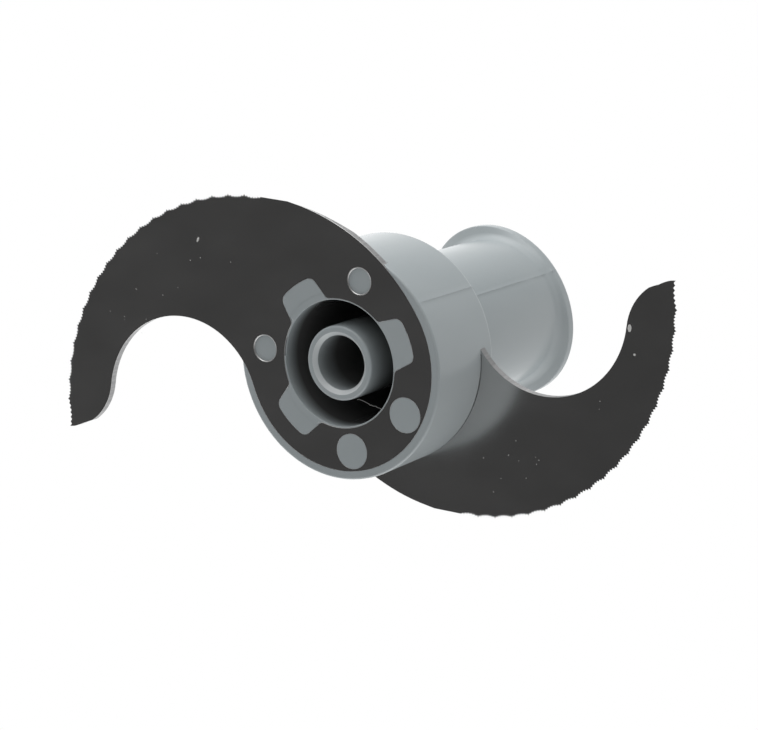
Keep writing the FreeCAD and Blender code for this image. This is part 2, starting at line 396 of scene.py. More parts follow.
@dataclass(frozen=True)
class PaleCrumb:
    """Dried food and torn flash, matt and pale; also painted on the hub's borders with the steel as a highlight.
    """

    colour: tuple[float, float, float] = (0.80, 0.80, 0.78)
    shaded: tuple[float, float, float] = (0.60, 0.60, 0.58)
    roughness: float = 0.6
    mottle_scale: float = 3000.0

    def material(self) -> bpy.types.Material:
        """Builds the finish as a material."""
        graph = ShaderGraph("pale_crumb_and_border_highlight")
        mottle = graph.noise(graph.place, self.mottle_scale)
        graph.feed(
            graph.shader,
            Base_Color=graph.blend(graph.spread(mottle, 0, 1), self.shaded, self.colour),
            Roughness=self.roughness,
        )
        return graph.material


# Mesh building


@dataclass(frozen=True)
class Station:
    """One corner of a half section.

    Attributes:
        radius: Distance from the axis.
        height: Height above the base.
        round: Radius that rounds the corner, or 0 for a sharp one.
        steps: Number of straight steps on the side that leads to the corner.
    """

    radius: float
    height: float
    round: float = 0.0
    steps: int = 1

    @property
    def point(self) -> Vector:
        """The corner in the XZ plane."""
        return Vector((self.radius, 0, self.height))


class SectionTracer:
    """Draws a half section in the XZ plane as one chain of edges."""

    ROUND_STEP = math.radians(11)

    def __init__(self, mesh: BMesh, start: Station) -> None:
        """Starts the chain.

        Args:
            mesh: Mesh to draw in.
            start: Where the chain starts.
        """
        self.mesh = mesh
        self.tip = mesh.verts.new(start.point)

    def line_to(self, point: Vector, steps: int) -> None:
        """Draws a straight side from the tip of the chain.

        Args:
            point: End of the side.
            steps: Number of edges on it.
        """
        stride = (point - self.tip.co) / steps
        if stride.length < NUDGE:
            return
        for _ in range(steps):
            made = bmesh.ops.extrude_vert_indiv(self.mesh, verts=[self.tip])
            self.tip = made["verts"][0]
            bmesh.ops.translate(self.mesh, verts=[self.tip], vec=stride)

    def round_about(self, centre: Vector, turn: float) -> None:
        """Draws an arc from the tip of the chain.

        Args:
            centre: Centre of the arc.
            turn: Angle about +Y, signed.
        """
        steps = max(2, round(abs(turn) / self.ROUND_STEP))
        made = bmesh.ops.spin(
            self.mesh, geom=[self.tip], cent=centre, axis=Y_AXIS, dvec=(0, 0, 0), angle=turn, steps=steps,
            use_merge=False, use_duplicate=False)
        self.tip = next(item for item in made["geom_last"] if isinstance(item, BMVert))

    def trace(self, stations: Sequence[Station]) -> None:
        """Draws the sides and rounded corners of a row of stations.

        Args:
            stations: Corners after the start, in order; the last one isn't rounded.
        """
        for here, after in zip(stations, list(stations[1:]) + [None]):
            if here.round == 0 or after is None:
                self.line_to(here.point, here.steps)
                continue
            back = (self.tip.co - here.point).normalized()
            onward = (after.point - here.point).normalized()
            half = back.angle(onward) / 2
            centre = here.point + (back + onward).normalized() * (here.round / math.sin(half))
            self.line_to(here.point + back * (here.round / math.tan(half)), here.steps)
            turn = math.pi - 2 * half
            self.round_about(centre, math.copysign(turn, onward.cross(back).y))


def turn_about_axis(mesh: BMesh, columns: int) -> None:
    """Turns a traced half section into a closed solid about Z.

    Args:
        mesh: Mesh that holds the chain, from axis to axis.
        columns: Number of steps round the axis.
    """
    bmesh.ops.spin(
        mesh, geom=list(mesh.verts) + list(mesh.edges), cent=(0, 0, 0), axis=Z_AXIS, dvec=(0, 0, 0),
        angle=math.tau, steps=columns, use_merge=True, use_duplicate=False)
    bmesh.ops.remove_doubles(mesh, verts=mesh.verts, dist=NUDGE)
    bmesh.ops.recalc_face_normals(mesh, faces=mesh.faces)


def ramp(value: float, start: float, end: float) -> float:
    """Rises evenly from 0 at the start to 1 at the end."""
    return max(0.0, min(1.0, (value - start) / (end - start)))


def flat_rims(mesh: BMesh) -> list[BMEdge]:
    """Borders between level faces and upright walls.

    Args:
        mesh: Mesh to search.

    Returns:
        The convex border edges.
    """
    rims = []
    for edge in mesh.edges:
        if len(edge.link_faces) != 2 or not edge.is_convex:
            continue
        leans = sorted(abs(face.normal.z) for face in edge.link_faces)
        if leans[0] < UPRIGHT_LEAN and leans[1] > LEVEL_LEAN:
            rims.append(edge)
    return rims


def mesh_object(name: str, mesh: BMesh) -> bpy.types.Object:
    """Makes an object at the origin from a bmesh and frees the bmesh.

    Args:
        name: Name of the object.
        mesh: Mesh in row coordinates.

    Returns:
        The object.
    """
    data = bpy.data.meshes.new(name)
    mesh.to_mesh(data)
    mesh.free()
    made = bpy.data.objects.new(name, data)
    bpy.context.scene.collection.objects.link(made)
    return made


def subtract(target: bpy.types.Object, cutters: Iterable[bpy.types.Object]) -> None:
    """Cuts closed shapes out of an object and deletes them.

    Args:
        target: Object that is cut.
        cutters: Objects to cut with.
    """
    cutters = list(cutters)
    for cutter in cutters:
        modifier = target.modifiers.new(cutter.name, "BOOLEAN")
        modifier.operation = "DIFFERENCE"
        modifier.solver = "MANIFOLD"
        modifier.object = cutter
    evaluate(target)
    for cutter in cutters:
        bpy.data.objects.remove(cutter)


def evaluate(piece: bpy.types.Object) -> None:
    """Applies a piece's modifiers.

    Args:
        piece: The piece.
    """
    bpy.context.view_layer.update()
    finished = bpy.data.meshes.new_from_object(piece.evaluated_get(bpy.context.evaluated_depsgraph_get()))
    finished.name = piece.name
    piece.modifiers.clear()
    piece.data = finished


def shade(piece: bpy.types.Object, crease: float) -> None:
    """Shades a piece smoothly, keeping flat faces flat and sharp edges over an angle.

    Args:
        piece: The piece.
        crease: Angle in degrees over which an edge stays sharp.
    """
    piece.data.shade_smooth()
    piece.data.set_sharp_from_angle(angle=math.radians(crease))
    weighted = piece.modifiers.new("weighted", "WEIGHTED_NORMAL")
    weighted.mode = "FACE_AREA"
    weighted.weight = 100
    weighted.keep_sharp = True
    evaluate(piece)


def finish_piece(piece: bpy.types.Object, replaced: str | None,
                 materials: Sequence[bpy.types.Material]) -> None:
    """Dresses a piece and ties it to the frame.

    Args:
        piece: The piece.
        replaced: Node that it stands for, if any.
        materials: Its materials, in the order of its faces' indices.
    """
    for material in materials:
        piece.data.materials.append(material)
    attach(piece, "root")
    if replaced:
        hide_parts(replaced)
    log.info("%s: %d faces", piece.name, len(piece.data.polygons))


# Sub-assemblies


class Anchors:
    """Places of the holes that the plastic fills in the blade's ring.

    Attributes:
        COUNT: Number of anchors round the ring.
        START: Angle of the first one.
        PITCH: Radius of the circle that they stand on.
        SMALL_PLACES: Numbers of the two small round ones.
        SMALL_RADIUS: Radius of those in the solids.
        TIGHT_RADIUS: Radius at which they are drawn.
        SINK: Depth of their ends below the base.
    """

    COUNT = 7
    START = math.radians(10)
    PITCH = 22.8 * MM
    SMALL_PLACES = (0, 2)
    SMALL_RADIUS = 4.0 * MM
    TIGHT_RADIUS = 3.30 * MM
    SINK = 0.40 * MM

    @classmethod
    def centre(cls, place: int) -> Vector:
        """Centre of an anchor on the base plane.

        Args:
            place: Number of the anchor, counted round the ring.

        Returns:
            The centre.
        """
        turn = cls.START + place * math.tau / cls.COUNT
        return Vector((math.cos(turn), math.sin(turn), 0)) * cls.PITCH

    @classmethod
    def tighten(cls, vert: BMVert) -> None:
        """Draws a vertex of a small hole in towards its centre, where the plastic laps over the edge."""
        if not cls.in_small_hole(vert.co):
            return
        for place in cls.SMALL_PLACES:
            spoke = (vert.co - cls.centre(place)).xy
            if spoke.length < 2 * cls.SMALL_RADIUS:
                vert.co.xy = cls.centre(place).xy + spoke * (cls.TIGHT_RADIUS / cls.SMALL_RADIUS)

    @classmethod
    def in_small_hole(cls, point: Vector) -> bool:
        """True for a point on or inside one of the lower blade's two small holes."""
        reach = cls.SMALL_RADIUS + 0.1 * MM
        return any((point - cls.centre(place)).xy.length < reach for place in cls.SMALL_PLACES)


@dataclass
class SickleBlade:
    """One steel blade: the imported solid's exact form with its sheared edges softened.

    Attributes:
        node: Node that the blade stands for.
        edge_soft: Width of the roll-over along the sheared edges.
        punch_soft: Width of the roll-over round the two small holes.
        edge_centre: Middle of the cutting edge's circle on the lower blade.
        bevel_start: Radius about it inside which nothing moves.
        bevel_blend: Width outside that radius over which the honing sets in.
        heel_span: Angles about it, in degrees, over which the honing fades out behind the heel.
        growth: How much farther out the photographed edge lies.
        tooth_gain: Extra depth of the teeth alone, as a share.
        tooth_limit: Most that a tooth counts as proud of its neighbours.
        heel_slide: Turn of the flutes at the heel, in degrees.
        slide_rate: Extra turn of the flutes for each degree before the heel.
        tip_span: Angles over which that turn fades out at the tip.
        tip_end: Angle past which nothing moves.
        wall_lean: Largest lean of a face that still counts as an upright wall.
        flat_angle: Angle in degrees under which neighbouring faces are joined.
        crease: Angle in degrees over which an edge is shaded sharp.
        pocket_drop: How far below the base the lower blade's cutter reaches.
    """

    node: str
    edge_soft: float = 0.20 * MM
    punch_soft: float = 0.45 * MM
    edge_centre: Vector = Vector((28.4, -16.0, 0)) * MM
    bevel_start: float = 53.0 * MM
    bevel_blend: float = 1.5 * MM
    heel_span: tuple[float, float] = (96.0, 122.0)
    growth: float = 0.42 * MM
    tooth_gain: float = 0.5
    tooth_limit: float = 0.25 * MM
    heel_slide: float = 0.4
    slide_rate: float = 0.021
    tip_span: tuple[float, float] = (-1.0, 4.5)
    tip_end: float = -30.0
    wall_lean: float = 0.05
    flat_angle: float = 0.2
    crease: float = 25.0
    pocket_drop: float = 1.0 * MM

    def outline(self) -> BMesh:
        """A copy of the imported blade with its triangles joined."""
        mesh = bmesh.new()
        mesh.from_mesh(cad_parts[self.node].data)
        bmesh.ops.remove_doubles(mesh, verts=mesh.verts, dist=NUDGE)
        if self.level < NUDGE:
            for vert in mesh.verts:
                Anchors.tighten(vert)
        return mesh

    @cached_property
    def level(self) -> float:
        """Height of the blade's underside."""
        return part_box(self.node)[0].z

    def pocket(self) -> bpy.types.Object:
        """Cutter that clears the room of the blade in the hub, taken below the base for the lower blade."""
        mesh = self.outline()
        if self.level < NUDGE:
            for vert in mesh.verts:
                if vert.co.z < NUDGE:
                    vert.co.z = -self.pocket_drop
        return mesh_object(self.node + "_pocket", mesh)

    def hone(self, mesh: BMesh) -> None:
        """Sets the serrated edge where the photograph shows it.

        Args:
            mesh: Mesh of the blade.
        """
        side = -1 if self.level > NUDGE else 1
        middle = self.edge_centre * side
        reaches = {vert: (vert.co - middle).xy.length for vert in mesh.verts}
        for vert, reach in reaches.items():
            beside = [edge.other_vert(vert) for edge in vert.link_edges
                      if min(face.normal.z for face in edge.link_faces) < -LEVEL_LEAN
                      and max(face.normal.z for face in edge.link_faces) > -LEVEL_LEAN]
            if reach > self.bevel_start and len(beside) == 2:
                proud = reach - sum(reaches[other] for other in beside) / 2
                proud = max(-self.tooth_limit, min(self.tooth_limit, proud))
                vert.co.xy += (vert.co - middle).xy * (self.tooth_gain * proud / reach)
        for vert in mesh.verts:
            spoke = Vector((side * vert.co.x, side * vert.co.y, 0)) - self.edge_centre
            angle = math.degrees(math.atan2(spoke.y, spoke.x))
            fade = 1 - ramp(angle, *self.heel_span)
            if spoke.length < self.bevel_start or fade == 0 or angle < self.tip_end:
                continue
            share = fade * ramp(spoke.length, self.bevel_start, self.bevel_start + self.bevel_blend)
            slide = self.heel_slide + self.slide_rate * max(0, self.heel_span[0] - angle)
            turn = math.radians(slide * share * ramp(angle, *self.tip_span))
            rise = 1 + self.growth * share / spoke.length
            moved = Matrix.Rotation(turn, 3, "Z") @ spoke * rise + self.edge_centre
            vert.co.xy = (moved * side).xy

    def build(self, steel: bpy.types.Material, sheared: bpy.types.Material,
              ground: bpy.types.Material) -> bpy.types.Object:
        """Makes the blade.

        Args:
            steel: Finish of the flat faces.
            sheared: Finish of the upright walls.
            ground: Finish of the bevel and the rolled edges.

        Returns:
            The finished piece.
        """
        mesh = self.outline()
        self.hone(mesh)
        bmesh.ops.dissolve_limit(
            mesh, angle_limit=math.radians(self.flat_angle), use_dissolve_boundaries=False,
            verts=mesh.verts, edges=mesh.edges)
        rims = flat_rims(mesh)
        punched = [edge for edge in rims if Anchors.in_small_hole(edge.verts[0].co)]
        rest = [edge for edge in rims if edge not in punched]
        for edges, offset in ((rest, self.edge_soft), (punched, self.punch_soft)):
            alive = [edge for edge in edges if edge.is_valid]
            bmesh.ops.bevel(
                mesh, geom=alive, offset=offset, offset_type="OFFSET", segments=3, profile=0.5,
                affect="EDGES", clamp_overlap=True, material=-1)
        for face in mesh.faces:
            lean = abs(face.normal.z)
            face.material_index = 0 if lean > LEVEL_LEAN else 1 if lean < self.wall_lean else 2
        piece = mesh_object(self.node + "_pressing", mesh)
        shade(piece, self.crease)
        finish_piece(piece, self.node, [steel, sheared, ground])
        return piece


@dataclass
class Hub:
    """The moulded hub, turned from its half section and filled round the blades.

    Attributes are sizes in metres and angles in radians, named as on the part. columns is the number of steps
    round the axis, and crease is the angle in degrees over which an edge is shaded sharp.
    """

    base_radius: float = 30.2 * MM
    skirt_top_radius: float = 29.5 * MM
    skirt_height: float = 26.3 * MM
    base_edge_round: float = 0.7 * MM
    skirt_top_round: float = 0.5 * MM
    waist_radius: float = 20.6 * MM
    waist_top_radius: float = 20.1 * MM
    waist_root_round: float = 1.6 * MM
    lip_long: float = 23.8 * MM
    lip_short: float = 20.7 * MM
    lip_angle: float = math.radians(59)
    lip_thickness: float = 3.0 * MM
    lip_round: float = 1.1 * MM
    lip_under_round: float = 0.5 * MM
    flare_height: float = 11.0 * MM
    flare_slope: float = math.radians(64.0)
    flare_round: float = 3.2 * MM
    neck_radius: float = 19.7 * MM
    well_radius: float = 16.40 * MM
    well_root_radius: float = 16.05 * MM
    well_depth: float = 75.0 * MM
    well_mouth_round: float = 0.25 * MM
    well_roof_round: float = 1.0 * MM
    boss_radius: float = 9.7 * MM
    boss_root_radius: float = 10.1 * MM
    boss_round: float = 0.7 * MM
    bore_radius: float = 7.1 * MM
    lead_in: float = 1.05 * MM
    lead_in_round: float = 0.25 * MM
    lead_in_edge_round: float = 0.15 * MM
    bore_length: float = 52.0 * MM
    drive_radius: float = 6.8 * MM
    drive_half_flats: float = 5.5 * MM
    drive_length: float = 16.0 * MM
    gate_radius: float = 2.6 * MM
    gate_depth: float = 0.6 * MM
    gate_round: float = 0.2 * MM
    witness_radius: float = 18.3 * MM
    witness_step: float = 0.07 * MM
    parting_angle: float = math.radians(149.5)
    parting_half_width: float = 0.14 * MM
    parting_height: float = 0.17 * MM
    parting_margin: float = 0.2 * MM
    sink_margin: float = 0.2 * MM
    border_round: float = 0.21 * MM
    torn_angle: float = math.radians(15.5)
    torn_size: tuple[float, float, float] = (1.1 * MM, 4.9 * MM, 1.0 * MM)
    columns: int = 216
    crease: float = 28.0

    @cached_property
    def height(self) -> float:
        """Height of the hub, from the frame."""
        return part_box("hub")[1].z

    def section(self) -> list[Station]:
        """Corners of the half section after its start on the axis in the drive socket.

        Returns:
            The corners, from the socket through the well and up the outside to the gate mark.
        """
        socket_end = self.bore_length + self.drive_length
        underside = self.height - self.lip_thickness
        flare_run = (self.lip_long - self.neck_radius) / math.tan(self.flare_slope)
        return [
            Station(self.drive_radius, socket_end),
            Station(self.drive_radius, self.bore_length, steps=4),
            Station(self.bore_radius, self.bore_length),
            Station(self.bore_radius, self.lead_in, self.lead_in_round, steps=8),
            Station(self.bore_radius + self.lead_in, 0, self.lead_in_edge_round),
            Station(self.boss_radius, 0, self.boss_round),
            Station(self.boss_root_radius, self.well_depth, self.well_roof_round, steps=12),
            Station(self.well_root_radius, self.well_depth, self.well_roof_round),
            Station(self.well_radius, self.witness_step, self.well_mouth_round, steps=12),
            Station(self.witness_radius, self.witness_step, steps=1),
            Station(self.witness_radius + self.witness_step, 0),
            Station(self.base_radius, 0, self.base_edge_round, steps=4),
            Station(self.skirt_top_radius, self.skirt_height, self.skirt_top_round, steps=9),
            Station(self.waist_radius, self.skirt_height, self.waist_root_round, steps=2),
            Station(self.waist_top_radius, underside - self.flare_height, steps=9),
            Station(self.neck_radius, underside - flare_run, self.flare_round, steps=2),
            Station(self.lip_long, underside, self.lip_under_round, steps=24),
            Station(self.lip_long, self.height, self.lip_round),
            Station(self.gate_radius, self.height, self.gate_round, steps=6),
            Station(self.gate_radius, self.height - self.gate_depth, self.gate_round),
            Station(0, self.height - self.gate_depth),
        ]

    def squash_lip(self, mesh: BMesh) -> None:
        """Turns the round flare and lip into an oval.

        Args:
            mesh: Mesh of the turned hub.
        """
        turn = Matrix.Rotation(self.lip_angle, 3, "Z")
        back = turn.inverted()
        full = (self.lip_short - self.waist_top_radius) / (self.lip_long - self.waist_top_radius)
        for vert in mesh.verts:
            reach = math.hypot(vert.co.x, vert.co.y)
            on_top = vert.co.z > self.height - self.gate_depth - NUDGE
            low = vert.co.z < self.height - self.lip_thickness - self.flare_height
            if not on_top and (low or reach < self.waist_top_radius):
                continue
            share = self.lip_short / self.lip_long
            if vert.co.z < self.height - self.lip_thickness:
                share = (self.waist_top_radius + (reach - self.waist_top_radius) * full) / reach
            if reach < 2 * self.gate_radius and on_top:
                share = 1.0
            place = back @ vert.co
            place.y *= share
            vert.co = turn @ place

    def raise_parting_line(self, mesh: BMesh) -> None:
        """Adds the hair-thin ridge that the two mould halves left down both sides.

        The columns beside the one on the parting plane are drawn close to it first.

        Args:
            mesh: Mesh of the hub, turned from a section at the parting angle.
        """
        along = Vector((math.cos(self.parting_angle), math.sin(self.parting_angle), 0))
        across = Vector((-along.y, along.x, 0))
        column = math.sin(math.tau / self.columns)
        for vert in mesh.verts:
            reach = math.hypot(vert.co.x, vert.co.y)
            aside = vert.co.dot(across)
            if reach < self.neck_radius - self.parting_margin or abs(aside) > 1.5 * column * reach:
                continue
            ahead = math.copysign(reach, vert.co.dot(along))
            if abs(aside) > 0.5 * column * reach:
                close = math.copysign(self.parting_half_width, aside)
                vert.co.xy = (along * ahead + across * close).xy
            elif self.waist_root_round < vert.co.z < self.height - self.lip_round:
                vert.co += along * math.copysign(self.parting_height, ahead)

    def narrow_socket(self, mesh: BMesh) -> None:
        """Presses the two drive flats into the socket.

        Args:
            mesh: Mesh of the hub.
        """
        for vert in mesh.verts:
            inside = math.hypot(vert.co.x, vert.co.y) < self.drive_radius + NUDGE
            if inside and self.bore_length - NUDGE < vert.co.z < self.height - 2 * self.lip_thickness:
                vert.co.y = max(-self.drive_half_flats, min(self.drive_half_flats, vert.co.y))

    def sink_cutters(self) -> list[bpy.types.Object]:
        """Cutters for the two small posts that shrank below the face.

        Returns:
            The cutters.
        """
        sinks = []
        radius = Anchors.SMALL_RADIUS + self.sink_margin
        for place in Anchors.SMALL_PLACES:
            mesh = bmesh.new()
            bmesh.ops.create_cone(
                mesh, cap_ends=True, cap_tris=False, segments=64, radius1=radius, radius2=radius,
                depth=2 * Anchors.SINK,
                matrix=Matrix.Translation(Anchors.centre(place)))
            sinks.append(mesh_object("post_sink", mesh))
        return sinks

    def torn_cutter(self) -> bpy.types.Object:
        """Cutter for the stretch of the well's rim where the thin flash tore away."""
        place = Matrix.Rotation(self.torn_angle, 4, "Z") @ Matrix.Translation((self.well_radius, 0, 0))
        mesh = bmesh.new()
        bmesh.ops.create_cube(mesh, size=1, matrix=place @ Matrix.Diagonal((*self.torn_size, 1)))
        return mesh_object("torn_flash", mesh)

    def soften_base(self, piece: bpy.types.Object) -> None:
        """Rounds the plastic's borders with the steel on the base, painted pale as a highlight, and marks the
        faces of the skirt's edge and the lead-in, which get a paler painted highlight.

        Args:
            piece: The cut hub.
        """
        mesh = bmesh.new()
        mesh.from_mesh(piece.data)
        bmesh.ops.dissolve_degenerate(mesh, dist=NUDGE, edges=mesh.edges)
        low = [edge for edge in flat_rims(mesh) if all(abs(vert.co.z) < NUDGE for vert in edge.verts)]
        # The rounded borders get the pale crumb finish as a painted highlight.
        bmesh.ops.bevel(
            mesh, geom=low, offset=self.border_round, offset_type="OFFSET", segments=2, profile=0.5,
            affect="EDGES", clamp_overlap=True, material=2)
        # The skirt's upper edge and the lead-in get the paler plastic, a painted highlight.
        for face in mesh.faces:
            if self.gets_painted_highlight(face.calc_center_median()):
                face.material_index = 1
        mesh.to_mesh(piece.data)
        mesh.free()

    def gets_painted_highlight(self, spot: Vector) -> bool:
        """True for a spot that gets the painted highlight: the rounded upper edge of the skirt or the lead-in of
        the bore.
        """
        reach = spot.xy.length
        half = self.skirt_top_round / 2
        on_edge = abs(spot.z - self.skirt_height + half) < half
        on_skirt = reach > self.skirt_top_radius - self.skirt_top_round and on_edge
        on_lead_in = spot.z < self.lead_in and self.bore_radius < reach < self.bore_radius + self.lead_in
        return on_skirt or on_lead_in

    def build(self, plastic: bpy.types.Material, painted_highlight_edge: bpy.types.Material, flash: bpy.types.Material,
              blades: Sequence[SickleBlade]) -> bpy.types.Object:
        """Makes the hub.

        Args:
            plastic: Finish of the moulding.
            painted_highlight_edge: Paler plastic painted on the skirt's upper edge and the lead-in as a
                highlight.
            flash: Pale matt finish painted on its rounded borders with the steel as a highlight.
            blades: Blades that it is moulded round.

        Returns:
            The finished piece.
        """
        mesh = bmesh.new()
        tracer = SectionTracer(mesh, Station(0, self.bore_length + self.drive_length))
        tracer.trace(self.section())
        parting = Matrix.Rotation(self.parting_angle, 3, "Z")
        bmesh.ops.rotate(mesh, verts=mesh.verts, cent=(0, 0, 0), matrix=parting)
        turn_about_axis(mesh, self.columns)
        self.raise_parting_line(mesh)
        self.narrow_socket(mesh)
        self.squash_lip(mesh)
        piece = mesh_object("hub_moulding", mesh)
        subtract(piece, [blade.pocket() for blade in blades] + self.sink_cutters() + [self.torn_cutter()])
        piece.data.materials.clear()
        self.soften_base(piece)
        shade(piece, self.crease)
        finish_piece(piece, "hub", [plastic, painted_highlight_edge, flash])
        return piece


# Studio


@dataclass(frozen=True)
class Chip:
    """A crumb that clings to a blade's underside.

    Attributes:
        x: Place along X.
        y: Place along Y.
        z: Height of the face that it clings to.
        length: Longest size.
        width: Size across.
        turn: Turn of its length about Z.
    """

    x: float
    y: float
    z: float
    length: float
    width: float
    turn: float = 0.0


@dataclass
class Debris:
    """Crumbs on the blades and a hair of flash in the well, as the photograph shows them.

    Attributes:
        chips: The crumbs that stand out.
        speck_count: Number of fine specks on each blade.
        speck_size: Smallest and largest speck.
        speck_centre: Middle of the cutting edge's circle.
        speck_span: First and last angle of the specks about it, in degrees.
        speck_reach: Nearest and farthest speck from it.
        thickness: Height of a crumb off the steel.
        hair_start: Where the hair leaves the boss.
        hair_end: Where it meets the well's wall.
        hair_radius: Half the thickness of the hair.
        hair_steps: Number of straight steps along it.
        hair_wobble: Largest sideways wander of a step.
        seed: Start of the random draws.
        crease: Angle in degrees over which an edge is shaded sharp.
    """

    chips: tuple[Chip, ...] = (
        Chip(39.9 * MM, 32.5 * MM, 0, 1.5 * MM, 0.6 * MM, math.radians(-60)),
        Chip(-74.1 * MM, 5.0 * MM, 20.7 * MM, 2.0 * MM, 1.1 * MM, math.radians(100)),
        Chip(-74.8 * MM, -1.7 * MM, 20.7 * MM, 0.7 * MM, 0.6 * MM),
    )
    speck_count: int = 12
    speck_size: tuple[float, float] = (0.13 * MM, 0.30 * MM)
    speck_centre: Vector = Vector((28.4, -16.0, 0)) * MM
    speck_span: tuple[float, float] = (32, 100)
    speck_reach: tuple[float, float] = (40 * MM, 54 * MM)
    thickness: float = 0.06 * MM
    hair_start: Vector = Vector((-2.4, -9.9, 3.0)) * MM
    hair_end: Vector = Vector((-9.9, -12.5, 3.0)) * MM
    hair_radius: float = 0.055 * MM
    hair_steps: int = 14
    hair_wobble: float = 0.22 * MM
    seed: int = 7
    crease: float = 60.0

    def add_chip(self, mesh: BMesh, chip: Chip) -> None:
        """Adds one crumb.

        Args:
            mesh: Mesh that it goes into.
            chip: The crumb.
        """
        place = Matrix.Translation((chip.x, chip.y, chip.z)) @ Matrix.Rotation(chip.turn, 4, "Z")
        size = Matrix.Diagonal((chip.length / 2, chip.width / 2, self.thickness, 1))
        bmesh.ops.create_icosphere(mesh, subdivisions=2, radius=1, matrix=place @ size)

    def add_specks(self, mesh: BMesh, dice: random.Random, half_turn: bool) -> None:
        """Scatters fine specks over the wing of a blade.

        Args:
            mesh: Mesh that they go into.
            dice: Source of chance.
            half_turn: True for the upper blade, which is turned by half a turn.
        """
        side = -1 if half_turn else 1
        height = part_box("upper_blade" if half_turn else "lower_blade")[0].z
        for _ in range(self.speck_count):
            turn = math.radians(dice.uniform(*self.speck_span))
            reach = dice.uniform(*self.speck_reach)
            spot = self.speck_centre + Vector((math.cos(turn), math.sin(turn), 0)) * reach
            size = dice.uniform(*self.speck_size)
            self.add_chip(mesh, Chip(side * spot.x, side * spot.y, height, size, size * 0.8, turn))

    def add_hair(self, mesh: BMesh, dice: random.Random) -> None:
        """Draws the hair of flash as a thin wandering rod.

        Args:
            mesh: Mesh that it goes into.
            dice: Source of chance.
        """
        stride = (self.hair_end - self.hair_start) / self.hair_steps
        facing = stride.to_track_quat("Z", "Y").to_matrix().to_4x4()
        made = bmesh.ops.create_circle(
            mesh, cap_ends=True, segments=6, radius=self.hair_radius,
            matrix=Matrix.Translation(self.hair_start) @ facing)
        ring = made["verts"]
        face = next(face for face in ring[0].link_faces if all(vert in ring for vert in face.verts))
        for _ in range(self.hair_steps):
            grown = bmesh.ops.extrude_face_region(mesh, geom=[face], use_keep_orig=True)
            face = next(item for item in grown["geom"] if isinstance(item, BMFace))
            wander = Vector((dice.uniform(-1, 1), dice.uniform(-1, 1), dice.uniform(-1, 1))) * self.hair_wobble
            bmesh.ops.translate(mesh, verts=face.verts, vec=stride + wander)

    def build(self, crumb: bpy.types.Material) -> bpy.types.Object:
        """Makes all crumbs and the hair as one piece.

        Args:
            crumb: Their finish.

        Returns:
            The finished piece.
        """
        dice = random.Random(self.seed)
        mesh = bmesh.new()
        for chip in self.chips:
            self.add_chip(mesh, chip)
        self.add_specks(mesh, dice, False)
        self.add_specks(mesh, dice, True)
        self.add_hair(mesh, dice)
        bmesh.ops.recalc_face_normals(mesh, faces=mesh.faces)
        piece = mesh_object("crumbs_and_flash", mesh)
        shade(piece, self.crease)
        finish_piece(piece, None, [crumb])
        return piece


@dataclass(frozen=True)
class Lobe:
    """A darker or brighter part of the surroundings.

    Attributes:
        direction: Where its middle lies.
        inner: Angle in degrees from the middle up to which it is full.
        outer: Angle in degrees from the middle at which it ends.
        level: Brightness inside, as a share of the surroundings.
    """

    direction: tuple[float, float, float]
    inner: float
    outer: float
    level: float


